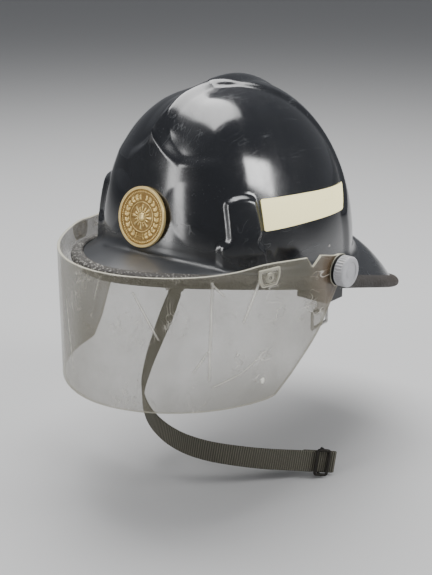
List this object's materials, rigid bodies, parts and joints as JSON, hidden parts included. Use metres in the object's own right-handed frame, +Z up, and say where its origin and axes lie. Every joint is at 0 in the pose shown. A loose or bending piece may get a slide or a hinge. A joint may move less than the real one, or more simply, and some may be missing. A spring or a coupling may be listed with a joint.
{
  "type": "fire helmet",
  "caption": "Moulded fire helmet with a hinged clear face shield, flared rear brim, rubber edge, adjustable headband and chin strap.",
  "frame": {"origin": "middle of the head opening, level with the lowered shield's top edge", "axes": "+Z up, the front faces -Y, the wearer's left is +X"},
  "size_m": [0.269, 0.3827, 0.3592],
  "materials": {
    "shell": "gloss black moulded thermoplastic with fine scuffs",
    "trim": "worn pebbled grey-brown rubber",
    "medallion": "satin gold relief",
    "marking": "pale cream reflective film",
    "bracket": "satin black",
    "clear": "clear polycarbonate with a warm haze and scratches",
    "gasket": "matt black",
    "knob": "matt light grey",
    "steel": "dull plated",
    "foam": "cloth-faced foam",
    "webbing": "cross-ribbed dark olive webbing",
    "cradle": "matt black"
  },
  "bodies": {
    "helmet": {"shell": "shell", "edge_trim": "trim", "medallion": "medallion", "medallion_posts": "steel", "marking_strip_left": "marking", "marking_strip_right": "marking", "pivot_bracket_left": "bracket", "pivot_bracket_right": "bracket", "bracket_screws": "steel", "pivot_stud_left": "steel", "pivot_stud_right": "steel", "pivot_washer_left": "clear", "pivot_washer_right": "clear", "pivot_gasket_left": "gasket", "pivot_gasket_right": "gasket", "impact_liner": "foam", "crown_strap_lower": "webbing", "crown_strap_upper": "webbing", "hanger_clips": "cradle", "headband": "cradle", "headband_studs": "steel", "brow_pad": "foam", "nape_strap": "cradle", "ratchet_housing": "cradle", "strap_anchor_left": "steel", "strap_anchor_right": "steel", "anchor_rivets": "steel", "strap_ring_right": "steel", "chin_strap": "webbing"},
    "shield": {"face_shield": "clear", "shield_bumper_left": "clear", "shield_bumper_right": "clear"},
    "knob_left": {"knob_left": "knob"},
    "knob_right": {"knob_right": "knob"},
    "ratchet_knob": {"ratchet_knob": "cradle"},
    "ring_left": {"strap_ring_left": "steel"},
    "slide": {"strap_slide": "steel"}
  },
  "joints": [
    {"name": "shield_raise", "type": "hinge", "parent": "helmet", "child": "shield", "pos_m": [0, -0.0195, -0.0177], "axis": [-1, 0, 0], "range_deg": [0, 90]},
    {"name": "knob_left_turn", "type": "hinge", "parent": "helmet", "child": "knob_left", "pos_m": [0.12565, -0.0195, -0.0177], "axis": [1, 0, 0], "range_deg": [0, 180]},
    {"name": "knob_right_turn", "type": "hinge", "parent": "helmet", "child": "knob_right", "pos_m": [-0.12565, -0.0195, -0.0177], "axis": [-1, 0, 0], "range_deg": [0, 180]},
    {"name": "ratchet_turn", "type": "hinge", "parent": "helmet", "child": "ratchet_knob", "pos_m": [0, 0.1052, -0.05], "axis": [0, 1, 0], "continuous": true},
    {"name": "ring_left_swing", "type": "hinge", "parent": "helmet", "child": "ring_left", "pos_m": [0.08596, 0.0079, -0.06975], "axis": [-0.0862, 0.9963, 0], "range_deg": [-75, 75]},
    {"name": "slide_along_strap", "type": "slide", "parent": "helmet", "child": "slide", "axis": [0.5831, 0.7924, -0.1794], "range_m": [-0.012, 0.004]}
  ]
}
